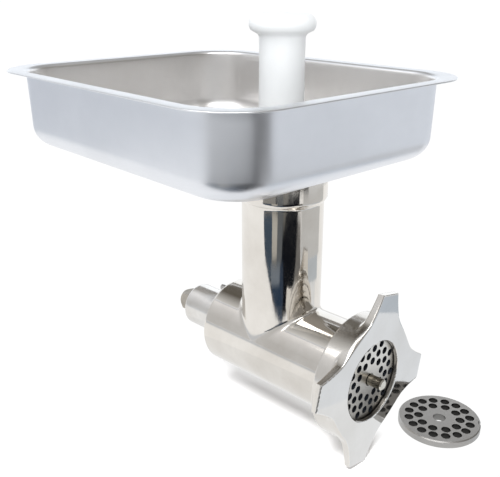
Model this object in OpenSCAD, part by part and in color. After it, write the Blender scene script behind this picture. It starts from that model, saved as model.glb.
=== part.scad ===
// Meat grinder head with a feed pan, a stomper and a spare plate.
// Origin: centre of the hub shoulder. +Y runs back into the hub, -Y out of the mouth, +Z up the neck.

/* [Barrel] */
// Outside diameter of the barrel
barrel_d = 76; // [70:0.5:84]
// Bore of the barrel between its grooves
chamber_d = 58; // [54:0.5:60]
// Number of grooves along the bore
groove_count = 6; // [4:1:8]
// Distance from the hub shoulder to the neck's axis
neck_back = 58; // [54:1:64]
// Distance from the hub shoulder to the end of the mouth
mouth_back = 150; // [146:1:156]
// Thickness of the wall behind the worm
rear_wall = 8; // [6:0.5:10]

/* [Neck] */
// Outside diameter of the neck
neck_d = 66.8; // [64:0.2:70]
// Bore of the neck
throat_d = 56; // [50:0.5:57]
// Height of the neck's top above the barrel's axis
neck_top = 157.2; // [140:0.1:170]
// Outside diameter of the collar round the neck's top
collar_d = 72; // [70:0.5:78]
// Height of the collar, with its rounded lower edge
collar_h = 28; // [20:1:34]

/* [Tail] */
// Outside diameter of the tail that goes into the hub
tail_d = 39.2; // [38:0.1:40]
// Length of the tail behind the shoulder
tail_len = 46.8; // [40:0.1:50]
// Diameter of the drive shank
shank_d = 22; // [20:0.5:24]
// Distance across the flats of the drive tang
tang_flats = 16; // [14:0.5:18]
// How far the tang stands out of the tail
tang_len = 18.7; // [12:0.1:22]

/* [Plates] */
// Diameter of a grinding plate
plate_d = 70; // [69.8:0.1:70]
// Thickness of a grinding plate
plate_t = 6.5; // [5:0.5:7]
// Hole through a plate's centre
plate_eye_d = 11; // [10.9:0.1:12]
// Diameter of the fitted plate's grinding holes
fine_hole_d = 6.1; // [4:0.1:6.4]
// Diameter of the spare plate's grinding holes
coarse_hole_d = 7.9; // [7:0.1:8.2]
// How far the fitted plate stands out of the mouth
plate_proud = 1.4; // [1:0.1:2]

/* [Ring nut] */
// Outside diameter of the skirt
skirt_d = 101.4; // [98:0.1:106]
// Length of the ring nut
ring_len = 22.3; // [20:0.1:24]
// Thickness of the lip in front of the plate
lip_t = 4; // [3:0.1:5]
// Diameter of the opening in front
mouth_open_d = 66.4; // [62:0.1:67]
// Distance from the axis to a wing's flat tip
wing_reach = 71.3; // [66:0.1:76]
// Radius of the hollow between two wings
wing_hollow_r = 86.4; // [80:0.1:92]
// Turn of the four wings about the axis
wing_turn = -12.9; // [-45:0.1:45]
// Pitch of the ring nut's thread
thread_pitch = 3; // [2:0.5:4]

/* [Worm] */
// Outside diameter of the worm's flight
worm_d = 56.8; // [50:0.2:57]
// Diameter of the worm's core
worm_core_d = 32; // [30:0.5:36]
// Advance of the flight in one turn
worm_pitch = 36; // [30:1:44]
// Angle that the flight's section takes up
flight_angle = 50; // [40:1:70]
// Diameter of the stud in front of the plate
stud_d = 9; // [7:0.5:9.5]
// How far the stud stands out of the plate
stud_out = 12.8; // [8:0.1:16]

/* [Feed pan] */
// Width of the pan over its rim
pan_w = 267.5; // [240:0.5:290]
// Length of the pan over its rim
pan_l = 318; // [290:0.5:340]
// Depth of the pan from rim to underside
pan_h = 64.8; // [50:0.1:75]
// Thickness of the sheet
sheet_t = 1.2; // [0.8:0.1:1.6]
// Width of the flat rim
rim_w = 13.2; // [10:0.1:16]
// How far the pan's middle lies behind the neck
pan_set_back = 71.3; // [60:0.1:80]
// How far the loose pan is turned on the neck
pan_turn = -3.65; // [-10:0.05:10]
// Length of the spout under the pan
spout_len = 30; // [20:1:36]

/* [Stomper] */
// Diameter of the shaft
stomper_d = 35.2; // [30:0.2:40]
// Diameter of the knob
knob_d = 50.4; // [46:0.2:54]
// Height of the knob's top above the barrel's axis
knob_top = 271.5; // [260:0.5:290]
// Height of the foot above the barrel's axis
foot_z = 30; // [30:0.5:40]

/* [Spare plate] */
// Place of the spare plate to the side
spare_x = 80.9; // [78:0.1:110]
// Place of the spare plate along the barrel
spare_y = -173.3; // [-200:0.1:-160]

/* [Hidden] */
$fn = 96;

// Clearance between parts that slide or turn loosely
gap = 0.3;
// Radial clearance of a running fit
running = 0.05;
// Overlap that lets a cutter break cleanly through a face
cut = 1;

barrel_r = barrel_d / 2;
neck_r = neck_d / 2;
collar_r = collar_d / 2;
tail_r = tail_d / 2;
shank_r = shank_d / 2;
plate_r = plate_d / 2;
skirt_r = skirt_d / 2;
worm_r = worm_d / 2;
core_r = worm_core_d / 2;
stud_r = stud_d / 2;

// Key that stops the fitted plate from turning: its reach into the plate and into the barrel's wall
key_r = 2;
key_in_plate = 2;
key_in_wall = 6;

// Dowel that keeps the head from turning in the hub
dowel_r = 2.6;
dowel_root_r = 2.4;
dowel_depth = 10;
dowel_out = 8;
dowel_seat_r = 32.5;
dowel_angle = 102;

// Bearings of the drive shank
shank_room = 1;
bushing_r = 14;
bushing_len = 20;
bushing_inset = 0.5;
washer_r = 22;
washer_t = 1.6;

// Joints within the worm: the shank's socket, its cross pin and the stud's square and root
socket_depth = 30;
pin_r = 2.5;
pin_back = 15;
nose_len = 22;
stud_root_r = 6;
square_w = 10;

// Room round the parts that a hand fits: the spout in the neck and the ring nut on the thread
spout_room = 0.4;
thread_room = 0.4;

// Places along the barrel
plate_front = -(mouth_back + plate_proud);
plate_back = plate_front + plate_t;
knife_front = plate_back + gap;
knife_t = 7.6;
knife_back = knife_front + knife_t;
knife_room = 0.5;
chamber_front = knife_back + knife_room;
ring_front = plate_front - gap - lip_t;
ring_back = ring_front + ring_len;
ring_cover = 1.6;
flange_back = ring_back - ring_cover;
worm_back = -(rear_wall + washer_t + gap);
flange_wall = 9.6;
flange_r = plate_r + flange_wall;
seat_r = plate_r + gap;
key_y = plate_front + plate_t / 2;

// Folds of the pan: outer radius below the walls, draft of the walls and radius of the upright corners
fold_r = 17.6;
draft = 1;
wall_corner_r = 42;
// Share of the fold that the corners' radius gives up towards the floor
corner_share = 0.8;

// Places up the neck
pan_bottom = neck_top + gap;
spout_r = throat_d / 2 + 1;

// Wings of the ring nut: thickness at tip and root, and distance from the axis to a hollow's deepest point
wing_tip_t = 5.5;
wing_root_t = 7;
wing_root_fillet = 3.5;
wing_corner_r = wing_reach + 3;
wing_valley_r = 46.8;
ring_edge_r = 4;

// Height of the table that the spare plate lies on
table_z = -72;

// Points of an arc round (x, y), from angle a to angle b
function arc(x, y, r, a, b, n) = [for (i = [0:n]) arc_point(x, y, r, a + (b - a) * i / n)];
function arc_point(x, y, r, turn) = [x + r * cos(turn), y + r * sin(turn)];

// Solid turned about the Y axis from points (radius, y)
module turned(points) {
    rotate([-90, 0, 0])
        rotate_extrude()
            polygon(points);
}

// Cylinder along Y from y0 up to y1
module along_y(y0, y1, r) {
    translate([0, y0, 0])
        rotate([-90, 0, 0])
            cylinder(h = y1 - y0, r = r);
}

// Flat shape in the XZ plane, from y0 up to y1
module slab_y(y0, y1) {
    translate([0, y1, 0])
        rotate([90, 0, 0])
            linear_extrude(y1 - y0)
                children();
}

// Barrel with its tail and the thread for the ring nut
module barrel() {
    color([0.86, 0.85, 0.82])
        difference() {
            barrel_outside();
            chamber();
            throat();
            tail_bore();
            fit_holes();
        }
}

// Feed neck, welded onto the top of the barrel
module neck() {
    color([0.86, 0.85, 0.82])
        difference() {
            neck_outside();
            throat();
            along_y(-mouth_back, cut, barrel_r);
        }
}

module barrel_outside() {
    edge = 1.2;
    tail_edge = 2;
    groove = 1;
    thread_start = -mouth_back + 1.5;
    thread_turns = 4;
    shoulder = 1;
    flange_front = [[flange_r - groove, -mouth_back], [flange_r, -mouth_back + groove]];
    thread = [for (i = [0:thread_turns - 1])
        for (p = [[flange_r, 0], [flange_r - groove, thread_pitch / 3], [flange_r, thread_pitch * 2 / 3]])
            [p[0], thread_start + i * thread_pitch + p[1]]];
    turned(concat(
        [[0, -mouth_back]],
        flange_front,
        thread,
        [[flange_r, flange_back], [barrel_r, flange_back + shoulder]],
        [[barrel_r, -edge], [barrel_r - edge, 0]],
        [[tail_r, 0], [tail_r, tail_len - tail_edge], [tail_r - tail_edge, tail_len], [0, tail_len]]
    ));
}

module neck_outside() {
    lip = 1;
    step = collar_r - neck_r;
    collar_bottom = neck_top - collar_h;
    collar_edge_z = collar_bottom + 1.3 * step;
    translate([0, -neck_back, 0])
        rotate_extrude()
            polygon(concat(
                [[0, 0], [neck_r, 0], [neck_r, collar_bottom]],
                arc(neck_r, collar_edge_z, step, -60, 0, 6),
                [[collar_r, neck_top - lip], [collar_r - lip, neck_top], [0, neck_top]]
            ));
}

// Bore for the worm with its grooves, and the wider seat for knife and plate
module chamber() {
    groove_r = 3;
    groove_depth = 2;
    slab_y(chamber_front - cut, -rear_wall)
        union() {
            circle(d = chamber_d);
            for (i = [0:groove_count - 1])
                rotate(360 / groove_count * (i + 0.5))
                    translate([chamber_d / 2 + groove_depth - groove_r, 0])
                        circle(r = groove_r);
        }
    along_y(-mouth_back - cut, chamber_front, seat_r);
}

module throat() {
    seat_depth = spout_len + 2;
    translate([0, -neck_back, 0]) {
        cylinder(h = neck_top + cut, d = throat_d);
        translate([0, 0, pan_bottom - seat_depth])
            cylinder(h = seat_depth + cut, r = spout_r + spout_room);
    }
}

module tail_bore() {
    along_y(-rear_wall - cut, tail_len + cut, shank_r + shank_room);
    along_y(tail_len - bushing_len, tail_len + cut, bushing_r);
}

// Blind holes for the plate key and the hub dowel
module fit_holes() {
    translate([0, key_y, seat_r - cut])
        cylinder(h = key_in_wall + cut, r = key_r);
    rotate([0, -dowel_angle, 0])
        translate([dowel_seat_r, -dowel_depth, 0])
            rotate([-90, 0, 0])
                cylinder(h = dowel_depth + cut, r = dowel_root_r);
}

module hub_dowel() {
    edge = 0.8;
    color([0.5, 0.49, 0.47])
        rotate([0, -dowel_angle, 0])
            translate([dowel_seat_r, 0, 0])
                turned([[0, -dowel_depth], [dowel_root_r, -dowel_depth], [dowel_root_r, 0], [dowel_r, 0],
                    [dowel_r, dowel_out - edge], [dowel_r - edge, dowel_out], [0, dowel_out]]);
}

module plate_key() {
    color([0.6, 0.6, 0.6])
        translate([0, key_y, plate_r - key_in_plate])
            cylinder(h = seat_r + key_in_wall - plate_r + key_in_plate, r = key_r);
}

module tail_bushing() {
    color([0.72, 0.58, 0.32])
        difference() {
            along_y(tail_len - bushing_len, tail_len - bushing_inset, bushing_r);
            along_y(tail_len - bushing_len - cut, tail_len + cut, shank_r + running);
        }
}

module thrust_washer() {
    color([0.93, 0.92, 0.88])
        difference() {
            along_y(-rear_wall - washer_t, -rear_wall, washer_r);
            along_y(-rear_wall - washer_t - cut, -rear_wall + cut, shank_r + shank_room);
        }
}

// Feed screw: a core with one flight that winds along it
module worm() {
    flight_front = chamber_front + 0.8;
    collar_t = 3;
    collar_bite = 0.5;
    flight_len = worm_back - collar_t - flight_front;
    turns = flight_len / worm_pitch;
    steps = round(turns * 24);
    color([0.78, 0.77, 0.75])
        difference() {
            union() {
                along_y(knife_back, worm_back, core_r);
                along_y(worm_back - collar_t, worm_back, worm_r);
                translate([0, flight_front + flight_len + collar_bite, 0])
                    rotate([90, 0, 0])
                        linear_extrude(flight_len + collar_bite, twist = -360 * turns, slices = steps,
                            $fn = 16)
                            flight_section();
            }
            along_y(worm_back - socket_depth, worm_back + cut, shank_r);
            along_y(knife_back - cut, knife_back + nose_len, stud_root_r);
            shank_pin_hole();
        }
}

// Section of the flight: wide where it joins the core and half as wide at its crest
module flight_section() {
    root_depth = 2;
    polygon(concat(
        arc(0, 0, core_r - root_depth, flight_angle / 2, -flight_angle / 2, 4),
        arc(0, 0, worm_r, -flight_angle / 4, flight_angle / 4, 4)
    ));
}

module shank_pin_hole() {
    translate([0, worm_back - pin_back, -core_r - cut])
        cylinder(h = worm_core_d + 2 * cut, r = pin_r);
}

// Shank: round in the worm and the tail, with a square tang that the hub drives
module drive_shank() {
    round_out = 0.8;
    tang_edge = 3;
    tang_end = tail_len + tang_len;
    color([0.55, 0.52, 0.48])
        difference() {
            union() {
                along_y(worm_back - socket_depth, tail_len + round_out, shank_r);
                intersection() {
                    turned([[0, tail_len], [shank_r, tail_len], [shank_r, tang_end - tang_edge],
                        [shank_r - tang_edge, tang_end], [0, tang_end]]);
                    slab_y(tail_len, tang_end + cut)
                        square(tang_flats, center = true);
                }
            }
            shank_pin_hole();
        }
}

module shank_pin() {
    inset = 0.5;
    color([0.6, 0.6, 0.6])
        translate([0, worm_back - pin_back, -core_r + inset])
            cylinder(h = worm_core_d - 2 * inset, r = pin_r);
}

// Stud: screwed into the worm's nose, square for the knife, then round through the plate
module worm_stud() {
    stud_end = plate_front - stud_out;
    journal_r = plate_eye_d / 2 - running;
    journal_front = plate_front + 1.5;
    edge = 1;
    color([0.8, 0.78, 0.72])
        union() {
            along_y(knife_back, knife_back + nose_len, stud_root_r);
            slab_y(knife_front, knife_back)
                square(square_w, center = true);
            turned([[0, stud_end], [stud_r - edge, stud_end], [stud_r, stud_end + edge],
                [stud_r, journal_front], [journal_r, journal_front], [journal_r, knife_front],
                [0, knife_front]]);
        }
}

// Knife with four blades that widen outwards, each leaning back from its edge on the plate
module cross_knife() {
    blade_r = 33;
    hub_r = 13;
    rake = 20;
    root_w = 5;
    edge_w = 7.5;
    back_w = 5.5;
    edge_relief = 0.1;
    rake_block = 40;
    color([0.7, 0.69, 0.67])
        difference() {
            union() {
                along_y(knife_front, knife_back, hub_r);
                for (i = [0:3])
                    rotate([0, 90 * i, 0])
                        intersection() {
                            slab_y(knife_front, knife_back)
                                polygon([[0, -root_w], [blade_r, -edge_w],
                                    [blade_r, back_w], [0, root_w]]);
                            translate([0, knife_front, -edge_w - edge_relief])
                                rotate([rake, 0, 0])
                                    translate([0, -rake_block / 2, 0])
                                        cube([blade_r + cut, rake_block, rake_block]);
                            along_y(knife_front - cut, knife_back + cut, blade_r);
                        }
            }
            slab_y(knife_front - cut, knife_back + cut)
                square(square_w + 2 * running, center = true);
        }
}

// Blank of a plate: its front face at z = 0, a notch in the rim towards +X
module plate_blank() {
    edge = 0.8;
    notch_w = 2 * key_r + 2 * gap;
    notch_depth = key_in_plate + gap;
    difference() {
        translate([0, 0, -plate_t])
            rotate_extrude()
                polygon([[0, 0], [plate_r - edge, 0], [plate_r, edge], [plate_r, plate_t - edge],
                    [plate_r - edge, plate_t], [0, plate_t]]);
        translate([0, 0, -plate_t - cut])
            cylinder(h = plate_t + 2 * cut, d = plate_eye_d);
        translate([plate_r - notch_depth, -notch_w / 2, -plate_t - cut])
            cube([notch_depth + cut, notch_w, plate_t + 2 * cut]);
    }
}

// One ring of holes through a plate
module hole_ring(count, r, d, start) {
    for (i = [0:count - 1])
        rotate(start + i * 360 / count)
            translate([r, 0, -plate_t - cut])
                cylinder(h = plate_t + 2 * cut, d = d, $fn = 32);
}

module grinding_plate() {
    ring_radii = [15.6, 21.8, 26.1, 29.7];
    ring_holes = 10;
    first_hole = 8.2;
    color([0.62, 0.61, 0.58])
        translate([0, plate_front, 0])
            rotate([90, 0, 0])
                difference() {
                    rotate(90)
                        plate_blank();
                    for (i = [0:3])
                        hole_ring(ring_holes, ring_radii[i], fine_hole_d,
                            first_hole + 180 / ring_holes * (i % 2));
                }
}

module spare_plate() {
    notch_angle = -60;
    outer_holes = 16;
    outer_ring_r = 26.3;
    inner_holes = 10;
    inner_ring_r = 17.6;
    color([0.6, 0.59, 0.57])
        translate([spare_x, spare_y, table_z + plate_t])
            rotate(notch_angle)
                difference() {
                    plate_blank();
                    hole_ring(outer_holes, outer_ring_r, coarse_hole_d, 180 / outer_holes);
                    hole_ring(inner_holes, inner_ring_r, coarse_hole_d, 0);
                }
}

// Nut that holds the plate: a skirt over the thread and four flat wings
module ring_nut() {
    nut_bore_r = flange_r + thread_room;
    back_edge = 1;
    fillet_back = ring_front + wing_root_t + wing_root_fillet;
    color([0.86, 0.86, 0.85])
        difference() {
            union() {
                turned(concat(
                    [[0, ring_front], [wing_valley_r, ring_front]],
                    arc(skirt_r - ring_edge_r, ring_front + ring_edge_r, ring_edge_r, -60, 0, 6),
                    [[skirt_r, ring_back - back_edge], [skirt_r - back_edge, ring_back], [0, ring_back]]
                ));
                intersection() {
                    turned(concat(
                        [[0, ring_front], [wing_corner_r, ring_front],
                            [wing_corner_r, ring_front + wing_tip_t]],
                        arc(skirt_r + wing_root_fillet, fillet_back, wing_root_fillet, 270, 180, 5),
                        [[0, fillet_back]]
                    ));
                    slab_y(ring_front - cut, ring_back)
                        star();
                }
            }
            along_y(ring_front - cut, ring_back + cut, mouth_open_d / 2);
            along_y(ring_front + lip_t, ring_back + cut, nut_bore_r);
        }
}

// Outline of the wings: a square with four round hollows cut from its corners
module star() {
    rotate(wing_turn)
        difference() {
            square(2 * wing_reach, center = true);
            for (i = [0:3])
                rotate(45 + 90 * i)
                    translate([wing_valley_r + wing_hollow_r, 0])
                        circle(r = wing_hollow_r);
        }
}

// Frame of the feed pan: turned on the neck, with z = 0 at its underside
module pan_place() {
    translate([0, -neck_back, pan_bottom])
        rotate(pan_turn)
            translate([0, pan_set_back, 0])
                children();
}

// Rectangle with round corners, inset from the rim's outer edge
module rim_outline(inset, corner_r) {
    half_w = pan_w / 2 - inset;
    half_l = pan_l / 2 - inset;
    square([2 * half_w, 2 * (half_l - corner_r)], center = true);
    square([2 * (half_w - corner_r), 2 * half_l], center = true);
    for (sx = [-1, 1])
        for (sy = [-1, 1])
            translate([sx * (half_w - corner_r), sy * (half_l - corner_r)])
                circle(r = corner_r, $fn = 48);
}

// The pan's outer shape, or its inside when skin is the sheet's thickness
module pan_form(skin, height) {
    steps = 6;
    slice_t = 0.01;
    bend_r = fold_r - skin;
    hull() {
        for (i = [0:steps]) {
            turn = 90 * i / steps;
            inward = bend_r * (1 - cos(turn));
            translate([0, 0, skin + bend_r * (1 - sin(turn))])
                linear_extrude(slice_t)
                    rim_outline(rim_w + draft + skin + inward,
                        wall_corner_r - draft - skin - inward * corner_share);
        }
        translate([0, 0, height - slice_t])
            linear_extrude(slice_t)
                rim_outline(rim_w + skin, wall_corner_r - skin);
    }
}

// Flat part of the pan's floor, out to where the fold begins
module floor_outline() {
    rim_outline(rim_w + draft + fold_r, wall_corner_r - draft - fold_r * corner_share);
}

// Walls of the pan with the fold below and the flat rim above
module feed_pan() {
    rim_corner_r = 48.6;
    color([0.8, 0.81, 0.82])
        pan_place()
            difference() {
                union() {
                    pan_form(0, pan_h - sheet_t);
                    translate([0, 0, pan_h - sheet_t])
                        linear_extrude(sheet_t)
                            rim_outline(0, rim_corner_r);
                }
                pan_form(sheet_t, pan_h + cut);
                translate([0, 0, -cut])
                    linear_extrude(sheet_t + 2 * cut)
                        floor_outline();
            }
}

module pan_floor() {
    color([0.8, 0.81, 0.82])
        pan_place()
            difference() {
                linear_extrude(sheet_t)
                    floor_outline();
                translate([0, -pan_set_back, -cut])
                    cylinder(h = 2 * cut + sheet_t, d = throat_d);
            }
}

module pan_spout() {
    color([0.78, 0.79, 0.8])
        translate([0, -neck_back, pan_bottom - spout_len])
            difference() {
                cylinder(h = spout_len, r = spout_r);
                translate([0, 0, -cut])
                    cylinder(h = spout_len + 2 * cut, d = throat_d);
            }
}

// Stomper: shaft with a round foot, flaring into a low knob. It stands a little off the throat's middle
module stomper() {
    off_middle = [-1.7, 1.8];
    foot_r = stomper_d / 2;
    knob_r = knob_d / 2;
    foot_edge = 3;
    knob_edge = 7.3;
    flare_r = 3.5;
    flare_z = knob_top - 18;
    color([0.97, 0.97, 0.98])
        translate([off_middle[0], off_middle[1] - neck_back, 0])
            rotate_extrude()
                polygon(concat(
                    [[0, foot_z]],
                    arc(foot_r - foot_edge, foot_z + foot_edge, foot_edge, -90, 0, 6),
                    arc(foot_r + flare_r, flare_z, flare_r, 180, 125, 5),
                    arc(knob_r - knob_edge, knob_top - knob_edge, knob_edge, -40, 75, 12),
                    [[0, knob_top]]
                ));
}

barrel();
neck();
hub_dowel();
plate_key();
tail_bushing();
thrust_washer();
worm();
drive_shank();
shank_pin();
worm_stud();
cross_knife();
grinding_plate();
ring_nut();
feed_pan();
pan_floor();
pan_spout();
stomper();
spare_plate();
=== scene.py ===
import math

import bpy
import numpy as np
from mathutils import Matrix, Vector


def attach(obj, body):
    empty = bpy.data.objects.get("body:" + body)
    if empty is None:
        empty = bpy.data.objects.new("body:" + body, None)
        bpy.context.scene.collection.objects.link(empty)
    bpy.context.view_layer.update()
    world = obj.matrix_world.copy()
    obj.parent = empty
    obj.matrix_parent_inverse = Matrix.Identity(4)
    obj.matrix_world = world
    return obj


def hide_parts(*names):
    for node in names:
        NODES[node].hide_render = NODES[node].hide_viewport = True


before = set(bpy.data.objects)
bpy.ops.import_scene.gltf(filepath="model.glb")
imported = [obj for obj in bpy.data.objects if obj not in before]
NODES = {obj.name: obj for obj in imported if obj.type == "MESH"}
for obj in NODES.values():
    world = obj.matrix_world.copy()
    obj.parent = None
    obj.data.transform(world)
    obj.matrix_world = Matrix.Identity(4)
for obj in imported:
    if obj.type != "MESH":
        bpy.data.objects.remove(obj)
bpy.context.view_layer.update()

SCENE = bpy.context.scene
MM = 0.001

# Main sizes, in millimetres, as the CAD has them
BARREL_R, NECK_R, COLLAR_R, TAIL_R = 38.0, 33.4, 36.0, 19.6
NECK_Y, NECK_TOP, TAIL_END, MOUTH_Y = -58.0, 157.2, 46.8, -150.0
FLANGE_R, FLANGE_BACK, SEAT_R, SEAT_BACK = 44.6, -135.0, 35.3, -136.5
CHAMBER_R, CHAMBER_BACK, THROAT_R, SPOUT_SEAT_R, SPOUT_SEAT_Z = 29.0, -8.0, 28.0, 29.4, 125.5
SHAFT_BORE_R, BUSHING_R, BUSHING_LENGTH = 12.0, 14.0, 20.0
RING_FRONT, RING_BACK, SKIRT_R, RING_HOLE_R, PLATE_ROOM_R = -155.7, -133.4, 50.7, 33.2, 45.0
WING_REACH, WING_TURN, WING_HOLLOW_R, WING_VALLEY_R = 71.3, -12.9, 86.4, 46.8
WING_ROOT, WING_THICK_ROOT, WING_THICK_TIP = 52.0, 7.0, 5.5
PAN_TURN, PAN_BOTTOM, PAN_H, PAN_SET_BACK = -3.65, 157.5, 64.8, 71.3
PAN_HALF_W, PAN_HALF_L, RIM_W, SHEET = 133.75, 159.0, 13.2, 1.2
PLATE_FRONT = RING_FRONT + 4.0
PLATE_EYE_R = 6.5
TABLE_Z = -72.0

CAMERA = Vector((-0.4052, -0.4111, 0.2949))
CAMERA_AIM = Vector((-0.01835, -0.0388, 0.09374))
CAMERA_LENS, SENSOR_W = 50.04, 36.0
# the way from the object to the camera, in plan
CAMERA_TURN = math.atan2(-0.6493, -0.6747)
# how far apart the cards on the table lie
LAYER = 0.0001
# a little past white, so that the floor and the backdrop meet unseen
WHITE_STRENGTH = 1.03


# ---------------------------------------------------------------- camera and studio
def make_camera():
    data = bpy.data.cameras.new("camera")
    data.sensor_width = SENSOR_W
    data.lens = CAMERA_LENS
    data.clip_end = 30.0
    cam = bpy.data.objects.new("camera", data)
    SCENE.collection.objects.link(cam)
    cam.location = CAMERA
    cam.rotation_mode = "QUATERNION"
    cam.rotation_quaternion = (CAMERA_AIM - CAMERA).to_track_quat("-Z", "Y")
    SCENE.camera = cam


def plain_object(name, verts, faces):
    mesh = bpy.data.meshes.new(name)
    mesh.from_pydata(verts, [], faces)
    obj = bpy.data.objects.new(name, mesh)
    SCENE.collection.objects.link(obj)
    return obj


def emission(name, colour, strength):
    mat = bpy.data.materials.new(name)
    mat.use_nodes = True
    tree = mat.node_tree
    tree.nodes.clear()
    out = tree.nodes.new("ShaderNodeOutputMaterial")
    emit = tree.nodes.new("ShaderNodeEmission")
    emit.inputs["Color"].default_value = (*colour, 1)
    emit.inputs["Strength"].default_value = strength
    tree.links.new(emit.outputs[0], out.inputs[0])
    mat.cycles.emission_sampling = "NONE"
    return mat


def card(name, verts, colour):
    """A glowing or dark sheet that only shows in reflections."""
    obj = plain_object(name, verts, [tuple(range(len(verts)))])
    obj.data.materials.append(emission(name, colour, 1.0))
    for kind in ("camera", "diffuse", "shadow", "transmission"):
        setattr(obj, "visible_" + kind, False)


def floor_card(name, outline, colour, layer):
    """A card on the table. A higher layer hides a lower one.

    Its corners are (distance, angle) from the neck's foot. Angle 0 is towards the camera, and the right is
    positive.
    """
    points = []
    for radius, turn in outline:
        angle = CAMERA_TURN + math.radians(turn)
        x, y = radius * math.cos(angle), NECK_Y * MM + radius * math.sin(angle)
        points.append((x, y, TABLE_Z * MM + layer * LAYER))
    card(name, points, colour)


def sector(near, far, start, end):
    """Corners of a ring's sector, or of a whole disc when near is 0 and the turn is full."""
    steps = max(4, round((end - start) / 12))
    turns = [start + (end - start) * i / steps for i in range(steps + 1)]
    if near == 0.0:
        return [(far, t) for t in turns[:-1]]
    return [(near, t) for t in turns] + [(far, t) for t in reversed(turns)]


def tube(radius, low, high, sides):
    points = [(radius * math.cos(2 * math.pi * i / sides), radius * math.sin(2 * math.pi * i / sides), z)
              for z in (low, high) for i in range(sides)]
    return points, [(i, (i + 1) % sides, sides + (i + 1) % sides, sides + i) for i in range(sides)]


def map_range(tree, value, start, end):
    """0 at start and 1 at end."""
    node = tree.nodes.new("ShaderNodeMapRange")
    node.inputs["From Min"].default_value = start
    node.inputs["From Max"].default_value = end
    tree.links.new(value, node.inputs["Value"])
    return node.outputs[0]


def colour_ramp(tree, value, stops):
    """A ramp through (position, colour) stops."""
    node = tree.nodes.new("ShaderNodeValToRGB")
    ramp = node.color_ramp.elements
    first, *middle, last = stops
    for element, (position, colour) in zip(tuple(ramp), (first, last)):
        element.position = position
        element.color = (*colour, 1)
    for position, colour in middle:
        ramp.new(position).color = (*colour, 1)
    tree.links.new(value, node.inputs[0])
    return node.outputs[0]


def floor_material():
    """White paper under the head. Its shadows fade out with the distance, and to the right."""
    mat = bpy.data.materials.new("floor")
    mat.use_nodes = True
    tree = mat.node_tree
    link = tree.links.new
    paper = tree.nodes["Principled BSDF"]
    paper.inputs["Base Color"].default_value = (0.95, 0.95, 0.955, 1)
    paper.inputs["Roughness"].default_value = 0.7
    paper.inputs["Specular IOR Level"].default_value = 0.1
    place = tree.nodes.new("ShaderNodeTexCoord").outputs["Object"]
    distance = tree.nodes.new("ShaderNodeVectorMath")
    distance.operation = "DISTANCE"
    shadow_middle = (-0.09, -0.12, TABLE_Z * MM)
    distance.inputs[1].default_value = shadow_middle
    link(place, distance.inputs[0])
    split = tree.nodes.new("ShaderNodeSeparateXYZ")
    link(place, split.inputs[0])
    fade = tree.nodes.new("ShaderNodeMath")
    fade.operation = "MAXIMUM"
    link(map_range(tree, distance.outputs["Value"], 0.15, 0.25), fade.inputs[0])
    link(map_range(tree, split.outputs["X"], 0.014, 0.038), fade.inputs[1])
    white = tree.nodes.new("ShaderNodeEmission")
    white.inputs["Strength"].default_value = WHITE_STRENGTH
    mix = tree.nodes.new("ShaderNodeMixShader")
    link(fade.outputs[0], mix.inputs[0])
    link(paper.outputs[0], mix.inputs[1])
    link(white.outputs[0], mix.inputs[2])
    link(mix.outputs[0], tree.nodes["Material Output"].inputs[0])
    mat.cycles.emission_sampling = "NONE"
    return mat


def make_floor():
    half, under_table = 6.0, 0.0002
    corners = [(x * half, y * half, TABLE_Z * MM - under_table)
               for x, y in ((-1, -1), (1, -1), (1, 1), (-1, 1))]
    floor = plain_object("floor", corners, [(0, 1, 2, 3)])
    floor.data.materials.append(floor_material())

    wall = plain_object("backdrop", *tube(radius=7.0, low=-1.0, high=7.0, sides=48))
    wall.data.materials.append(emission("backdrop", (1, 1, 1), WHITE_STRENGTH))
    for kind in ("diffuse", "glossy", "transmission", "shadow", "volume_scatter"):
        setattr(wall, "visible_" + kind, False)


def make_world():
    """A room that is light on the left, darker on the right and behind, and darker low down."""
    world = bpy.data.worlds.new("world")
    SCENE.world = world
    world.use_nodes = True
    tree = world.node_tree
    link = tree.links.new
    way = tree.nodes.new("ShaderNodeTexCoord").outputs["Generated"]
    light_side = CAMERA_TURN + math.radians(-58)
    towards = tree.nodes.new("ShaderNodeVectorMath")
    towards.operation = "DOT_PRODUCT"
    towards.inputs[1].default_value = (math.cos(light_side), math.sin(light_side), 0.2)
    link(way, towards.inputs[0])
    split = tree.nodes.new("ShaderNodeSeparateXYZ")
    link(way, split.inputs[0])
    by_side = colour_ramp(tree, towards.outputs["Value"], (
        (0.15, (0.30, 0.29, 0.275)), (0.50, (0.74, 0.74, 0.745))))
    by_height = colour_ramp(tree, split.outputs["Z"], (
        (0.28, (0.56, 0.56, 0.56)), (0.55, (0.70, 0.70, 0.71)), (0.72, (0.92, 0.92, 0.93))))
    both = tree.nodes.new("ShaderNodeMix")
    both.data_type = "RGBA"
    both.blend_type = "MULTIPLY"
    both.inputs["Factor"].default_value = 1.0
    link(by_side, both.inputs[6])
    link(by_height, both.inputs[7])
    background = tree.nodes["Background"]
    link(both.outputs[2], background.inputs["Color"])
    background.inputs["Strength"].default_value = 1.5


def wall_card(name, radius, start, end, low, high, colour):
    """An upright curved card round the neck, seen only in reflections. Heights are above the table."""
    steps = max(2, round((end - start) / 10))
    for i in range(steps):
        a, b = (CAMERA_TURN + math.radians(start + (end - start) * k / steps) for k in (i, i + 1))
        corners = [(radius * math.cos(t), NECK_Y * MM + radius * math.sin(t), TABLE_Z * MM + z)
                   for t, z in ((a, low), (b, low), (b, high), (a, high))]
        card(f"{name}_{i}", corners, colour)


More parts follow.
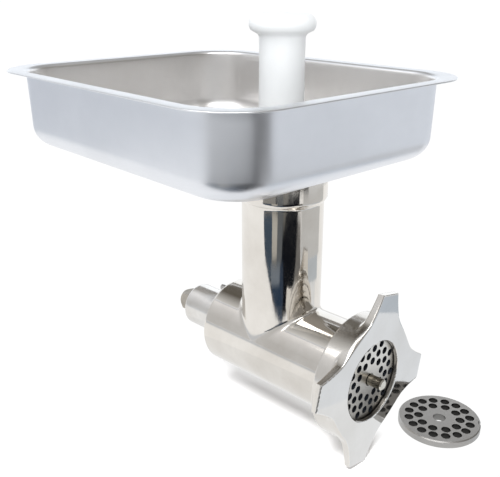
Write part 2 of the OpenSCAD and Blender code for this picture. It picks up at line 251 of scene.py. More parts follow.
def make_lights():
    aim = Vector((0, -0.05, 0.05))
    # name, place, size, power in watts, tint, whether the metal mirrors it
    for name, place, size, power, tint, mirrored in (
        ("key", (-0.9, 0.3, 1.5), 0.9, 7.0, (1.0, 0.99, 0.97), True),
        ("top", (-0.45, -0.6, 1.6), 0.8, 7.0, (1.0, 1.0, 1.0), True),
        ("fill", (1.1, -0.7, 1.3), 1.2, 2.0, (0.97, 0.98, 1.0), False),
        ("floor_lamp", (-0.84, -0.48, 1.3), 0.5, 50.0, (1.0, 1.0, 1.0), False),
        ("stomper_lamp", (-0.86, -0.97, 0.30), 1.6, 15.0, (1.0, 1.0, 1.0), False),
    ):
        data = bpy.data.lights.new(name, "AREA")
        data.size = size
        data.energy = power
        data.color = tint
        lamp = bpy.data.objects.new(name, data)
        SCENE.collection.objects.link(lamp)
        lamp.location = Vector(place)
        lamp.visible_glossy = mirrored
        lamp.rotation_mode = "QUATERNION"
        lamp.rotation_quaternion = (aim - lamp.location).to_track_quat("-Z", "Y")


def lamp_only(lamp, piece):
    """The lamp lights this piece and nothing else."""
    only = bpy.data.collections.new(lamp + "_only")
    only.objects.link(bpy.data.objects[piece])
    bpy.data.objects[lamp].light_linking.receiver_collection = only


def floor_cards(rows):
    for row in rows:
        floor_card(*row)


def make_reflections():
    """What the polished metal mirrors: the paper, the room's floor and dark shapes on the camera's side."""
    floor_cards((
        ("paper", sector(0.0, 0.75, -180, 180), (0.99, 0.99, 0.99), 4),
        # the paper close to the neck's foot is mirrored darker: painted shade
        ("paper_near", sector(0.0, 0.17, -180, 180), (0.92, 0.925, 0.93), 5),
        ("paper_right", sector(0.17, 0.33, 42, 104), (0.85, 0.87, 0.895), 6),
        ("shade_right", sector(0.33, 0.42, 50, 112), (0.54, 0.585, 0.635), 8),
        ("grey_right", sector(0.42, 0.78, 49, 118), (0.61, 0.615, 0.62), 8),
        ("paper_left", sector(0.75, 1.0, -180, -55), (0.90, 0.91, 0.92), 6),
        ("room_left", sector(1.0, 1.35, -180, -55), (0.69, 0.715, 0.745), 6),
        ("room_far_left", sector(1.35, 5.0, -180, -55), (0.62, 0.645, 0.69), 6),
        ("room_right", sector(0.78, 5.0, 62, 180), (0.80, 0.825, 0.86), 6),
        ("room_near", sector(0.76, 1.0, -46, 29), (0.40, 0.405, 0.41), 8),
        ("room_front", sector(1.0, 5.0, -55, 31), (0.64, 0.65, 0.66), 8),
        ("room_dark", sector(0.76, 1.0, 25, 63), (0.02, 0.02, 0.02), 9),
        ("room_far_dark", sector(1.0, 5.0, 29, 61), (0.17, 0.17, 0.175), 9),
    ))
    wall_card("sweep_back", 2.4, 128, 232, 0.0, 1.4, (1.22, 1.26, 1.31))

    # the neck's dark band, from its black ground to the blue, beige and brown stripes in it
    floor_cards((
        ("dark_base", [(0.25, -16), (0.33, -34), (0.38, -42), (0.46, -51), (0.58, -55), (0.76, -53),
                       (0.76, -30), (0.76, -7), (0.76, 16), (0.76, 39), (0.60, 39), (0.46, 36), (0.33, 31),
                       (0.25, 8)],
         (0.006, 0.007, 0.01), 10),
        ("navy_left", [(0.33, -34), (0.38, -42), (0.46, -51), (0.58, -55), (0.62, -55), (0.62, -31),
                       (0.42, -30)],
         (0.055, 0.08, 0.115), 12),
        ("collar_left", sector(0.62, 0.76, -53, -20), (0.27, 0.265, 0.255), 12),
        ("beige", [(0.43, -30), (0.62, -31), (0.62, -16), (0.43, -17)], (0.47, 0.455, 0.42), 13),
        ("navy_low", [(0.27, -8), (0.33, -14), (0.42, -16), (0.42, 0), (0.33, 2), (0.27, 2)],
         (0.035, 0.05, 0.08), 12),
        ("grey_middle", [(0.42, -17), (0.62, -16), (0.76, -20), (0.76, -2), (0.62, -1), (0.42, -4)],
         (0.12, 0.13, 0.14), 12),
        ("blue_low", [(0.336, -32), (0.42, -32), (0.42, -8), (0.336, -8)], (0.18, 0.21, 0.25), 14),
        ("navy_foot", [(0.235, -8), (0.27, -21), (0.33, -31), (0.336, -32), (0.336, -7), (0.235, 3)],
         (0.025, 0.045, 0.08), 15),
        ("brown", [(0.53, 0), (0.62, -1), (0.76, -2), (0.76, 12), (0.68, 10), (0.60, 5)],
         (0.17, 0.165, 0.155), 14),
        ("edge_right", [(0.34, 31), (0.46, 36), (0.60, 39), (0.60, 47), (0.46, 48), (0.34, 50)],
         (0.17, 0.165, 0.16), 14),
    ))


def make_studio():
    make_floor()
    make_world()
    make_lights()
    make_reflections()
    SCENE.view_settings.view_transform = "Standard"
    SCENE.view_settings.look = "None"


# ---------------------------------------------------------------- materials
GRAIN_DEPTH = 0.00005


class Nodes:
    """Short way to build a shader's node tree on the object's own coordinates."""

    def __init__(self, name):
        self.mat = bpy.data.materials.new(name)
        self.mat.use_nodes = True
        self.tree = self.mat.node_tree
        self.shader = self.tree.nodes["Principled BSDF"]
        self.place = self.tree.nodes.new("ShaderNodeTexCoord")
        self.coords = self.place.outputs["Object"]

    def axis(self, vector, name):
        """X, Y or Z of a vector."""
        node = self.tree.nodes.new("ShaderNodeSeparateXYZ")
        self.tree.links.new(vector, node.inputs[0])
        return node.outputs[name]

    def vector_math(self, operation, a, b=None):
        node = self.tree.nodes.new("ShaderNodeVectorMath")
        node.operation = operation
        self.tree.links.new(a, node.inputs[0])
        if b is not None:
            node.inputs[1].default_value = b
        return node.outputs["Value" if operation == "LENGTH" else "Vector"]

    def noise(self, scale, detail, rough=0.55, stretch=None, seed=(0, 0, 0)):
        mapping = self.tree.nodes.new("ShaderNodeMapping")
        mapping.inputs["Location"].default_value = seed
        mapping.inputs["Scale"].default_value = stretch or (1, 1, 1)
        self.tree.links.new(self.coords, mapping.inputs["Vector"])
        node = self.tree.nodes.new("ShaderNodeTexNoise")
        node.inputs["Scale"].default_value = scale
        node.inputs["Detail"].default_value = detail
        node.inputs["Roughness"].default_value = rough
        self.tree.links.new(mapping.outputs[0], node.inputs["Vector"])
        return node.outputs["Fac"]

    def spread(self, value, lo, hi, out_lo, out_hi):
        node = self.tree.nodes.new("ShaderNodeMapRange")
        for i, number in enumerate((lo, hi, out_lo, out_hi)):
            node.inputs[i + 1].default_value = number
        self.tree.links.new(value, node.inputs[0])
        return node.outputs[0]

    def math(self, operation, a, b=None):
        node = self.tree.nodes.new("ShaderNodeMath")
        node.operation = operation
        self.tree.links.new(a, node.inputs[0])
        if b is not None:
            self.tree.links.new(b, node.inputs[1])
        return node.outputs[0]

    def mix(self, value, a, b):
        node = self.tree.nodes.new("ShaderNodeMix")
        node.data_type = "RGBA"
        self.tree.links.new(value, node.inputs["Factor"])
        for socket, colour in ((node.inputs[6], a), (node.inputs[7], b)):
            if isinstance(colour, tuple):
                socket.default_value = (*colour, 1)
            else:
                self.tree.links.new(colour, socket)
        return node.outputs[2]

    def bump(self, heights):
        """heights: (value, strength, distance in metres), stacked."""
        normal = None
        for value, strength, distance in heights:
            node = self.tree.nodes.new("ShaderNodeBump")
            node.inputs["Strength"].default_value = strength
            node.inputs["Distance"].default_value = distance
            self.tree.links.new(value, node.inputs["Height"])
            if normal is not None:
                self.tree.links.new(normal, node.inputs["Normal"])
            normal = node.outputs[0]
        self.tree.links.new(normal, self.shader.inputs["Normal"])

    def edges(self):
        """1 on the sharp edges, where the metal is worn bright."""
        geometry = self.tree.nodes.new("ShaderNodeNewGeometry")
        return self.spread(geometry.outputs["Pointiness"], 0.52, 0.6, 0.0, 1.0)

    def set(self, name, value):
        socket = self.shader.inputs[name]
        if isinstance(value, (int, float)):
            socket.default_value = value
        else:
            self.tree.links.new(value, socket)


# Masks, each 1 where a material changes its colour, here all for painted shade
def along_side(n, axis):
    """The surfaces that run along the piece's axis, and not its end faces."""
    return n.spread(n.math("ABSOLUTE", n.axis(n.place.outputs["Normal"], axis)), 0.3, 0.75, 1.0, 0.0)


def painted_hole_shade(n, plate, axis):
    """The walls of a plate's holes, and half as much in its eye, where painted shade goes. Its faces and its
    rim are left out.
    """
    low, high = Vector(plate.bound_box[0]), Vector(plate.bound_box[6])
    flat = [0.0 if name == axis else 1.0 for name in "XYZ"]
    side = ("XYZ".index(axis) + 1) % 3
    rim = (high[side] - low[side]) / 2
    eye = PLATE_EYE_R * MM
    from_middle = n.vector_math("SUBTRACT", n.coords, (low + high) / 2)
    away = n.vector_math("LENGTH", n.vector_math("MULTIPLY", from_middle, flat))
    off_rim = n.spread(away, rim - 0.002, rim - 0.0012, 1.0, 0.0)
    off_eye = n.spread(away, eye, eye + 0.001, 0.55, 1.0)
    return n.math("MULTIPLY", n.math("MULTIPLY", off_rim, off_eye), along_side(n, axis))


def plate_hole_painted_shade(n):
    return painted_hole_shade(n, NODES["grinding_plate"], "Y")


def spare_hole_painted_shade(n):
    return painted_hole_shade(n, NODES["spare_plate"], "Z")


# the stud's shaft, painted darker than its end face: painted shade
def stud_side_painted_shade(n):
    return along_side(n, "Y")


def painted_shade_low_half(n):
    """The plate's lower half, which mirrors the table, darkened by painted shade."""
    return n.spread(n.axis(n.coords, "Z"), -0.028, 0.012, 1.0, 0.0)


def plate_gap_painted_shade(n):
    """The ring nut's bore close to the plate, for the dark line of painted shade in the gap between them."""
    edge = PLATE_FRONT * MM
    return n.spread(n.axis(n.coords, "Y"), edge - 0.0010, edge - 0.0006, 0.0, 1.0)


def metal(name, dark, light, rough, vary, patch, wave=0.0, grain=(900.0, None, 0.1), seed=0.0, tones=()):
    """Cloudy metal with bright edges, uneven roughness, low waves and a fine grain.

    rough is give or take vary, patch is the clouds' scale, wave is in metres, grain is (scale, stretch,
    strength) and tones are (mask, colour) of painted shade, laid over the metal. Polished metals stay under
    a roughness of 0.25 and rough ones over 0.28, because the denoiser leaves specks between the two.
    """
    n = Nodes(name)
    grain_scale, grain_stretch, grain_strength = grain
    cloud = n.noise(patch, 5.0, 0.6, seed=(seed, seed * 0.7, 0.3))
    fine = n.noise(grain_scale, 2.0, 0.5, grain_stretch, seed=(0.1, seed, 0.2))
    n.set("Metallic", 1.0)
    colour = n.mix(n.spread(cloud, 0.35, 0.68, 0.0, 1.0), dark, light)
    colour = n.mix(n.edges(), colour, tuple(min(1.0, c * 1.12) for c in light))
    for mask, tone in tones:
        colour = n.mix(mask(n), colour, tone)
    n.set("Base Color", colour)
    smears = n.noise(patch * 2.3, 6.0, 0.65, seed=(seed + 3, 1, 2))
    soft = n.spread(smears, 0.3, 0.7, rough - vary, rough + vary)
    n.set("Roughness", n.math("ADD", soft, n.spread(fine, 0.2, 0.8, -0.02, 0.02)))
    heights = [(fine, grain_strength, GRAIN_DEPTH)]
    if wave:
        heights.insert(0, (n.noise(patch * 0.9, 2.0, 0.4, seed=(5, seed, 4)), 1.0, wave))
    n.bump(heights)
    return n.mat


def plastic(name, dark, light, rough, scatter):
    n = Nodes(name)
    cloud = n.noise(30.0, 4.0)
    fine = n.noise(1400.0, 2.0)
    n.set("Base Color", n.mix(n.spread(cloud, 0.3, 0.7, 0.0, 1.0), dark, light))
    n.set("Roughness", n.spread(n.noise(60.0, 5.0), 0.3, 0.7, rough - 0.06, rough + 0.06))
    n.set("Subsurface Weight", scatter)
    n.shader.inputs["Subsurface Radius"].default_value = (0.004, 0.004, 0.004)
    n.bump([(cloud, 0.25, 0.0004), (fine, 0.12, 0.00004)])
    return n.mat


def underside():
    """The pan's bottom from below: painted shade, dark in the middle and brighter towards its left side."""
    n = Nodes("pan_underside")
    cloud = n.noise(14.0, 5.0, 0.6, seed=(5.0, 3.5, 0.3))
    # painted shade: dark in the middle and lit towards the left, for the shaded table the bottom mirrors
    left = n.spread(n.axis(n.coords, "X"), -0.098, -0.004, 1.0, 0.0)
    n.set("Metallic", 1.0)
    colour = n.mix(left, (0.12, 0.108, 0.09), (0.84, 0.84, 0.84))
    n.set("Base Color", n.mix(n.spread(cloud, 0.3, 0.8, 0.0, 0.25), colour, (0.45, 0.44, 0.42)))
    n.set("Roughness", n.spread(cloud, 0.3, 0.7, 0.28, 0.40))
    n.bump([(n.noise(700.0, 2.0), 0.2, GRAIN_DEPTH)])
    return n.mat


def make_materials():
    turned_grain = (900.0, (0.2, 1.0, 0.2), 0.15)
    drawn_grain = (320.0, (0.05, 0.05, 1.0), 0.04)
    return {
        "polished": metal("polished_steel", (0.70, 0.665, 0.615), (0.83, 0.80, 0.755), 0.085, 0.05,
                          patch=16.0, wave=0.0005),
        "turned": metal("turned_steel", (0.72, 0.70, 0.67), (0.84, 0.83, 0.81), 0.17, 0.05,
                        patch=30.0, wave=0.0002, grain=turned_grain, seed=15.0),
        "skirt": metal("ring_skirt_steel", (0.72, 0.69, 0.645), (0.84, 0.815, 0.775), 0.18, 0.03,
                       patch=16.0, wave=0.0004, seed=5.0),
        "face": metal("ring_face_steel", (0.72, 0.715, 0.70), (0.80, 0.80, 0.795), 0.06, 0.03,
                      patch=18.0, wave=0.00012, seed=2.0),
        "satin": metal("satin_steel", (0.78, 0.80, 0.84), (0.85, 0.87, 0.91), 0.32, 0.02,
                       patch=9.0, wave=0.00006, grain=drawn_grain, seed=1.0),
        # the pan's inside is painted lighter and warmer than its outside: painted light on the same satin
        # steel
        "satin_inside_painted_light": metal("satin_steel_inside", (0.83, 0.82, 0.81), (0.90, 0.895, 0.89), 0.33, 0.02,
                              patch=9.0, wave=0.00006, grain=drawn_grain, seed=4.0),
        "under": underside(),
        "rim": metal("rim_steel", (0.78, 0.80, 0.83), (0.85, 0.87, 0.90), 0.33, 0.02, patch=12.0, seed=6.0),
        "bore": metal("ring_bore_steel", (0.36, 0.34, 0.31), (0.52, 0.50, 0.47), 0.36, 0.05,
                      patch=40.0, grain=(1500.0, (0.1, 1.0, 0.1), 0.25), seed=3.0,
                      # painted shade for the gap between the bore and the plate
                      tones=((plate_gap_painted_shade, (0.03, 0.028, 0.025)),)),
        "plate": metal("plate_steel", (0.50, 0.485, 0.455), (0.70, 0.685, 0.65), 0.34, 0.04,
                       patch=60.0, wave=0.00005, grain=(1100.0, (1.0, 0.15, 1.0), 0.35), seed=7.0,
                       # painted shade: the lower half darker for the table it mirrors, and the hole walls
                       # dark blue-grey, painted shade with a painted reflection
                       tones=((painted_shade_low_half, (0.31, 0.30, 0.28)), (plate_hole_painted_shade, (0.32, 0.35, 0.40)))),
        "spare": metal("spare_plate_steel", (0.27, 0.263, 0.254), (0.42, 0.411, 0.398), 0.34, 0.04,
                       patch=60.0, wave=0.00005, grain=(1100.0, (0.15, 1.0, 1.0), 0.15), seed=14.0,
                       # painted shade in the spare plate's holes
                       tones=((spare_hole_painted_shade, (0.035, 0.034, 0.033)),)),
        "knife": metal("knife_steel", (0.5, 0.49, 0.47), (0.66, 0.65, 0.63), 0.35, 0.05,
                       patch=50.0, seed=8.0),
        "cast": metal("cast_steel", (0.56, 0.55, 0.53), (0.72, 0.71, 0.69), 0.36, 0.06,
                      patch=40.0, wave=0.0002, seed=9.0),
        "stud": metal("stud_steel", (0.62, 0.59, 0.52), (0.82, 0.80, 0.74), 0.19, 0.04,
                      patch=70.0, grain=(1300.0, (0.2, 1.0, 0.2), 0.08), seed=10.0,
                      # painted shade on the stud's shaft; its end face stays light
                      tones=((stud_side_painted_shade, (0.28, 0.255, 0.21)),)),
        "shank": metal("shank_steel", (0.30, 0.275, 0.24), (0.46, 0.43, 0.385), 0.39, 0.08,
                       patch=60.0, wave=0.0001, grain=(900.0, (0.2, 1.0, 0.2), 0.4), seed=11.0),
        "pin": metal("pin_steel", (0.34, 0.33, 0.32), (0.52, 0.51, 0.49), 0.34, 0.04, patch=80.0, seed=12.0),
        "bronze": metal("bronze", (0.46, 0.31, 0.14), (0.64, 0.46, 0.24), 0.36, 0.06, patch=60.0, seed=13.0),
        "nylon": plastic("nylon", (0.80, 0.79, 0.74), (0.88, 0.87, 0.83), 0.45, scatter=0.1),
        "white": plastic("white_plastic", (0.80, 0.825, 0.84), (0.84, 0.865, 0.88), 0.36, scatter=0.0),
    }


# ---------------------------------------------------------------- solids as distance fields, in millimetres
def round_cylinder(radial, axial, radius, low, high, edge):
    """A cylinder from low to high along its axis, with rounded edges."""
    a = radial - (radius - edge)
    b = np.abs(axial - (low + high) / 2) - ((high - low) / 2 - edge)
    return np.minimum(np.maximum(a, b), 0) + np.hypot(np.maximum(a, 0), np.maximum(b, 0)) - edge


def join(a, b, fillet):
    """Both solids, with a fillet in the corner between them."""
    inner = np.hypot(np.maximum(fillet - a, 0), np.maximum(fillet - b, 0))
    return np.maximum(fillet, np.minimum(a, b)) - inner


def remove(a, b, edge):
    """The first solid without the second, with the cut's edge rounded."""
    return -join(-a, b, edge)


def housing_outside(x, y, z):
    r = np.hypot(x, z)
    across = np.hypot(x, y - NECK_Y)
    body = round_cylinder(r, y, BARREL_R, MOUTH_Y, 0.0, edge=1.6)
    body = join(body, round_cylinder(r, y, TAIL_R, -8.0, TAIL_END, edge=2.0), fillet=1.2)
    neck = round_cylinder(across, z, NECK_R, 0.0, NECK_TOP, edge=1.0)
    collar = np.maximum(round_cylinder(across, z, COLLAR_R, 129.0, 175.0, edge=4.5), z - NECK_TOP)
    collar = remove(collar, NECK_TOP - z, edge=0.9)
    solid = join(body, join(neck, collar, fillet=0.8), fillet=2.6)
    groove_depth, pitch = 0.5, 3.0
    thread_r = FLANGE_R - groove_depth + groove_depth * np.cos(2 * np.pi * (y - MOUTH_Y) / pitch)
    flange = round_cylinder(r - thread_r + FLANGE_R, y, FLANGE_R, MOUTH_Y, FLANGE_BACK, edge=0.8)
    return join(solid, flange, fillet=0.8)


def housing_hollow(x, y, z):
    r = np.hypot(x, z)
    across = np.hypot(x, y - NECK_Y)
    past = 30.0  # how far a cut runs out past its opening
    mouth, top, back = MOUTH_Y - past, NECK_TOP + past, TAIL_END + past
    chamber = round_cylinder(r, y, CHAMBER_R, mouth, CHAMBER_BACK, edge=0.5)
    grooves, groove_at, groove_r = 6, 28.0, 3.0
    for i in range(grooves):
        angle = math.radians(360 / grooves * i + 30)
        groove = np.hypot(x - groove_at * math.cos(angle), z - groove_at * math.sin(angle))
        chamber = np.minimum(chamber, round_cylinder(groove, y, groove_r, mouth, CHAMBER_BACK, edge=0.5))
    cuts = (
        round_cylinder(r, y, SEAT_R, mouth, SEAT_BACK, edge=0.3),
        round_cylinder(across, z, THROAT_R, -1.0, top, edge=0.5),
        round_cylinder(across, z, SPOUT_SEAT_R, SPOUT_SEAT_Z, top, edge=0.3),
        round_cylinder(r, y, SHAFT_BORE_R, -20.0, back, edge=0.3),
        round_cylinder(r, y, BUSHING_R, TAIL_END - BUSHING_LENGTH, back, edge=0.3),
    )
    for cut in cuts:
        chamber = np.minimum(chamber, cut)
    return chamber


def housing_field(x, y, z):
    return remove(housing_outside(x, y, z), housing_hollow(x, y, z), edge=0.7)


def ring_field(x, y, z):
    r = np.hypot(x, z)
    skirt = round_cylinder(r, y, SKIRT_R, RING_FRONT - 20.0, RING_BACK, edge=1.0)
    turn = math.radians(WING_TURN)
    u, v = x * math.cos(turn) + z * math.sin(turn), -x * math.sin(turn) + z * math.cos(turn)
    star = np.maximum(np.abs(u), np.abs(v)) - WING_REACH
    hollow = (WING_VALLEY_R + WING_HOLLOW_R) * math.sqrt(0.5)
    for su in (-1, 1):
        for sv in (-1, 1):
            star = np.maximum(star, WING_HOLLOW_R - np.hypot(u - su * hollow, v - sv * hollow))
    thick = np.interp(r, [WING_ROOT, WING_REACH], [WING_THICK_ROOT, WING_THICK_TIP])
    solid = join(skirt, remove(star, RING_FRONT + thick - y, edge=1.1), fillet=3.0)
    # one flat front, whose edge is soft between the wings and crisp on them
    valley = np.clip(star / 3.0, 0.0, 1.0)
    solid = remove(solid, y - RING_FRONT, edge=1.0 + 2.6 * valley)
    past = 30.0
    hole = round_cylinder(r, y, RING_HOLE_R, RING_FRONT - past, RING_BACK + past, edge=0.2)
    plate_room = round_cylinder(r, y, PLATE_ROOM_R, PLATE_FRONT, RING_BACK + past, edge=0.4)
    return remove(solid, np.minimum(hole, plate_room), edge=0.8)


def surface(field, low, high, step):
    """Quads round the zero of a field, one vertex a cell, each then moved onto the surface itself."""
    axes = [np.arange(a, b + step, step) for a, b in zip(low, high)]
    d = field(*np.meshgrid(*axes, indexing="ij", sparse=True))
    inside = d < 0
    cells = np.array(d.shape) - 1
    total = np.zeros((*cells, 3))
    count = np.zeros(tuple(cells))
    crossings = []
    for a in range(3):
        b, c = [i for i in range(3) if i != a]
        head, tail = [slice(None)] * 3, [slice(None)] * 3
        head[a], tail[a] = slice(0, -1), slice(1, None)
        d0, d1 = d[tuple(head)], d[tuple(tail)]
        cross = inside[tuple(head)] != inside[tuple(tail)]
        crossings.append(cross)
        part = np.where(cross, d0 / np.where(cross, d0 - d1, 1), 0)
        for ob in (0, 1):
            for oc in (0, 1):
                cut = [slice(None)] * 3
                cut[b], cut[c] = slice(ob, ob + cells[b]), slice(oc, oc + cells[c])
                here = cross[tuple(cut)]
                count += here
                total[..., a] += part[tuple(cut)]
                total[..., b] += here * ob
                total[..., c] += here * oc
    used = count > 0
    index = np.full(tuple(cells), -1)
    index[used] = np.arange(used.sum())
    points = (np.argwhere(used) + total[used] / count[used][:, None]) * step + np.array([a[0] for a in axes])
    quads = []
    for a in range(3):
        b, c = (a + 1) % 3, (a + 2) % 3
        cross = crossings[a]
        where = np.argwhere(cross)
        at_b, at_c = where[:, b], where[:, c]
        where = where[(at_b > 0) & (at_b < cells[b]) & (at_c > 0) & (at_c < cells[c])]
        corners = []
        for ob, oc in ((-1, -1), (0, -1), (0, 0), (-1, 0)):
            cell = where.copy()
            cell[:, b] += ob
            cell[:, c] += oc
            corners.append(index[tuple(cell.T)])
        quad = np.stack(corners, 1)
        flip = ~inside[tuple(where.T)]
        quad[flip] = quad[flip][:, ::-1]
        quads.append(quad)
    quads = np.concatenate(quads)

    def slope(p):
        apart = 0.02
        out = np.zeros_like(p)
        for i in range(3):
            shift = np.zeros(3)
            shift[i] = apart
            out[:, i] = (field(*(p + shift).T) - field(*(p - shift).T)) / (2 * apart)
        return out

    # three steps down the slope, none longer than half a cell
    least_slope, longest = 0.3, 0.5 * step
    for _ in range(3):
        g = slope(points)
        move = field(*points.T)[:, None] * g / np.maximum((g * g).sum(1), least_slope)[:, None]
        points -= np.clip(move, -longest, longest)
    return points, quads


def mesh_piece(name, points, faces, body, mats, replaced, face_mats=None, flat_angle=None):
    """One visible piece, from points in millimetres. Edges over flat_angle degrees are drawn sharp."""
    mesh = bpy.data.meshes.new(name)
    mesh.from_pydata((np.asarray(points) * MM).tolist(), [], [tuple(int(i) for i in f) for f in faces])
    mesh.update()
    mesh.polygons.foreach_set("use_smooth", [True] * len(mesh.polygons))
    for m in mats:
        mesh.materials.append(m)
    if face_mats is not None:
        mesh.polygons.foreach_set("material_index", [int(i) for i in face_mats])
    mesh.validate()
    obj = bpy.data.objects.new(name, mesh)
    SCENE.collection.objects.link(obj)
    if flat_angle is not None:
        obj.data.set_sharp_from_angle(angle=math.radians(flat_angle))
    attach(obj, body)
    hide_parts(*replaced)


# ---------------------------------------------------------------- pan and stomper
def round_rect(half_w, half_l, radius):
    """Closed outline, anticlockwise, with the same number of points whatever its size."""
    corner_steps, side_steps = 20, 10
    signs = ((1, 1), (-1, 1), (-1, -1), (1, -1))
    points = []
    for k, (sx, sy) in enumerate(signs):
        cx, cy = sx * (half_w - radius), sy * (half_l - radius)
        for i in range(corner_steps + 1):
            angle = math.radians(90 * k + 90 * i / corner_steps)
            points.append((cx + radius * math.cos(angle), cy + radius * math.sin(angle)))
        nx, ny = signs[(k + 1) % 4]
        ex, ey = nx * (half_w - radius), ny * (half_l - radius)
        angle = math.radians(90 * (k + 1))
        last = points[-1]
        target = (ex + radius * math.cos(angle), ey + radius * math.sin(angle))
        for i in range(1, side_steps):
            t = i / side_steps
            points.append((last[0] + (target[0] - last[0]) * t, last[1] + (target[1] - last[1]) * t))
    return np.array(points)


# the pan's parts, in the order of its materials
OUTSIDE, INSIDE, RIM, UNDER = range(4)


def quarter(steps):
    """(sine, cosine) of the angles from 0 to 90 degrees."""
    return [(math.sin(a), math.cos(a)) for a in (math.radians(90 * i / steps) for i in range(steps + 1))]


def between(steps):
    """The fractions between 0 and 1."""
    return [i / steps for i in range(1, steps)]


def pan_rows():
    """Rows of (inset from the rim's edge, height, corner radius, part).

    They run from the flat floor's edge up the outside, over the rim, and down the inside to the floor again.
    """
    fold, draft, wall_corner, rim_corner, bend = 17.6, 1.0, 42.0, 48.6, 2.6
    least_corner, corner_shrink = 8.0, 0.8
    top = PAN_H
    rows = []

    def add(inset, height, part):
        radius = rim_corner - (rim_corner - wall_corner) * min(1.0, inset / RIM_W)
        radius -= max(0.0, inset - RIM_W) * corner_shrink
        rows.append((inset, height, max(least_corner, radius), part))

    wall_low = RIM_W + draft
    for sine, cosine in quarter(12):
        add(wall_low + fold * (1 - sine), fold * (1 - cosine), OUTSIDE)
    bend_low = top - SHEET - bend
    for t in between(7):
        add(wall_low - draft * t, fold + (bend_low - fold) * t, OUTSIDE)
    for sine, cosine in quarter(6):
        add(RIM_W - bend * (1 - cosine), bend_low + bend * sine, OUTSIDE)
    add(RIM_W * 0.5, top - SHEET, RIM)
    lip, lip_steps = SHEET / 2, 6
    for i in range(lip_steps + 1):
        angle = math.radians(-90 + 180 * i / lip_steps)
        add(lip - lip * math.cos(angle), top - lip + lip * math.sin(angle), RIM)
    add(RIM_W * 0.5, top, RIM)
    inner = bend + SHEET
    for i, (sine, cosine) in enumerate(quarter(6)):
        add(RIM_W + SHEET - inner * (1 - sine), top - inner * (1 - cosine), RIM if i < 4 else INSIDE)
    for t in between(7):
        add(RIM_W + SHEET + draft * t, top - inner + (fold - top + inner) * t, INSIDE)
    inner_fold = fold - SHEET
    for sine, cosine in quarter(12):
        add(wall_low + SHEET + inner_fold * (1 - cosine), fold - inner_fold * sine, INSIDE)
    return rows


# how far each of the flat floor's rows lies from the hole to the fold
FLOOR_STEPS = [0.0, 0.02, 0.08, 0.2, 0.4, 0.6, 0.8, 0.93]


def make_pan(mats):
    rows = pan_rows()
    outline = [round_rect(PAN_HALF_W - inset, PAN_HALF_L - inset, corner) for inset, _, corner, _ in rows]
    count = len(outline[0])
    hole = np.array([0.0, -PAN_SET_BACK])
    loops, heights, parts = [], [], []

    def floor_rows(edge, height, part, steps):
        away = edge - hole
        ring = hole + THROAT_R * away / np.linalg.norm(away, axis=1)[:, None]
        for t in steps:
            loops.append(ring + (edge - ring) * t)
            heights.append(height)
            parts.append(part)

    floor_rows(outline[0], 0.0, OUTSIDE, FLOOR_STEPS)
    for line, (_, height, _, part) in zip(outline, rows):
        loops.append(line)
        heights.append(height)
        parts.append(part)
    floor_rows(outline[-1], SHEET, INSIDE, FLOOR_STEPS[::-1])
    verts = np.concatenate([np.column_stack([line, np.full(count, h)]) for line, h in zip(loops, heights)])
    # the pressed sheet is uneven by a fifth of a millimetre, most of it halfway up
    halfway = np.sin(np.clip(verts[:, 2] / PAN_H, 0, 1) * math.pi)
    sway = 0.22 * np.sin(verts[:, 0] / 41.0 + 1.3) * np.sin(verts[:, 1] / 53.0) * halfway
    out = verts[:, :2] / np.linalg.norm(verts[:, :2], axis=1)[:, None]
    verts[:, :2] += out * sway[:, None]
    turn = math.radians(PAN_TURN)
    x, y = verts[:, 0], verts[:, 1] + PAN_SET_BACK
    verts = np.column_stack([
        x * math.cos(turn) - y * math.sin(turn),
        x * math.sin(turn) + y * math.cos(turn) + NECK_Y,
        verts[:, 2] + PAN_BOTTOM,
    ])
    faces, face_mats = [], []
    for j in range(len(loops)):
        k = (j + 1) % len(loops)
        part = RIM if RIM in (parts[j], parts[k]) else parts[j]
        for i in range(count):
            m = (i + 1) % count
            faces.append((j * count + i, j * count + m, k * count + m, k * count + i))
            face_mats.append(part)
    flat_bottom = (len(FLOOR_STEPS) - 1) * count
    face_mats[:flat_bottom] = [UNDER] * flat_bottom
    mesh_piece("feed_pan_sheet", verts, faces, "pan",
               [mats["satin"], mats["satin_inside_painted_light"], mats["rim"], mats["under"]],
               ("feed_pan", "pan_floor"), face_mats, flat_angle=35)


def lathe(profile, centre):
    """A closed solid turned from (radius, height) points."""
    segments = 128
    points, faces = [], []
    for radius, height in profile:
        for i in range(segments):
            a = 2 * math.pi * i / segments
            points.append((centre[0] + radius * math.cos(a), centre[1] + radius * math.sin(a), height))
    for j in range(len(profile) - 1):
        for i in range(segments):
            m = (i + 1) % segments
            faces.append((j * segments + i, j * segments + m, (j + 1) * segments + m, (j + 1) * segments + i))
    low, high = len(points), len(points) + 1
    points += [(*centre, profile[0][1]), (*centre, profile[-1][1])]
    top = (len(profile) - 1) * segments
    for i in range(segments):
        m = (i + 1) % segments
        faces.append((m, i, low))
        faces.append((top + i, top + m, high))
    return points, faces


def arc(radius, height, size, start, end, steps):
    """Profile points round (radius, height), from one angle to another."""
    angles = [math.radians(start + (end - start) * i / steps) for i in range(steps + 1)]
    return [(radius + size * math.cos(a), height + size * math.sin(a)) for a in angles]


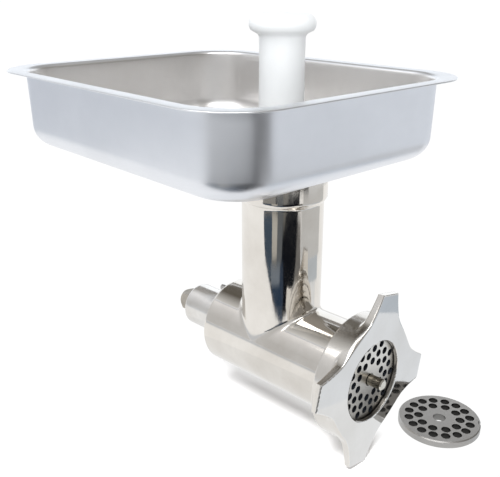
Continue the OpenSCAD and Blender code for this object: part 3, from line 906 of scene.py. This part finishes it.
def make_stomper(mats):
    knob_r, top, shaft_r, foot = 25.2, 271.5, 17.6, 30.0
    knob_edge, foot_edge, under_knob_edge = 7.3, 3, 3.6
    profile = [(2.0, foot), (12.0, foot)]
    profile += arc(shaft_r - foot_edge, foot + foot_edge, foot_edge, -90, 0, steps=8)
    # the shaft narrows a little towards the knob
    profile += [(shaft_r + 0.1, 90.0), (shaft_r, 150.0), (shaft_r - 0.1, 200.0), (shaft_r - 0.3, 240.0)]
    profile += arc(shaft_r + 3.5, 253.5, under_knob_edge, 180, 125, steps=7)
    profile += arc(knob_r - knob_edge, top - knob_edge - 0.6, knob_edge, -40, 72, steps=18)
    # and the knob's top is slightly domed
    profile += [(14.0, top - 0.45), (8.0, top - 0.15), (3.0, top)]
    points, faces = lathe(profile, centre=(-1.7, NECK_Y + 1.8))
    mesh_piece("stomper_moulding", points, faces, "stomper", [mats["white"]], ("stomper",))


def make_castings(mats):
    step = 1.25
    points, quads = surface(housing_field, (-47, -152, -47), (47, 49, 159), step)
    # the turned tail starts just behind the shoulder, which is at 0
    tail = points[quads].mean(1)[:, 1] > 1.0
    mesh_piece("head_casting", points, quads, "head", [mats["polished"], mats["turned"]], ("barrel", "neck"),
               tail, flat_angle=40)

    step = 0.75
    points, quads = surface(ring_field, (-74, -158, -74), (74, -132, 74), step)
    middle = points[quads].mean(1)
    # the flat front is slot 1, the bore behind it slot 2, and the rest slot 0
    front = middle[:, 1] < RING_FRONT + 0.25
    in_hole = np.hypot(middle[:, 0], middle[:, 2]) < RING_HOLE_R + 0.3
    bore = (middle[:, 1] > RING_FRONT + 0.7) & in_hole
    mesh_piece("ring_casting", points, quads, "ring", [mats["skirt"], mats["face"], mats["bore"]],
               ("ring_nut",), front + 2 * bore, flat_angle=40)


def dress_cad(mats):
    for node, name in {
        "hub_dowel": "pin", "plate_key": "pin", "tail_bushing": "bronze", "thrust_washer": "nylon",
        "worm": "cast", "drive_shank": "shank", "shank_pin": "pin", "worm_stud": "stud",
        "cross_knife": "knife", "grinding_plate": "plate", "pan_spout": "satin", "spare_plate": "spare",
    }.items():
        slots = NODES[node].data.materials
        slots.clear()
        slots.append(mats[name])


make_camera()
make_studio()
MATS = make_materials()
make_castings(MATS)
make_pan(MATS)
make_stomper(MATS)
dress_cad(MATS)
lamp_only("floor_lamp", "floor")
lamp_only("stomper_lamp", "stomper_moulding")
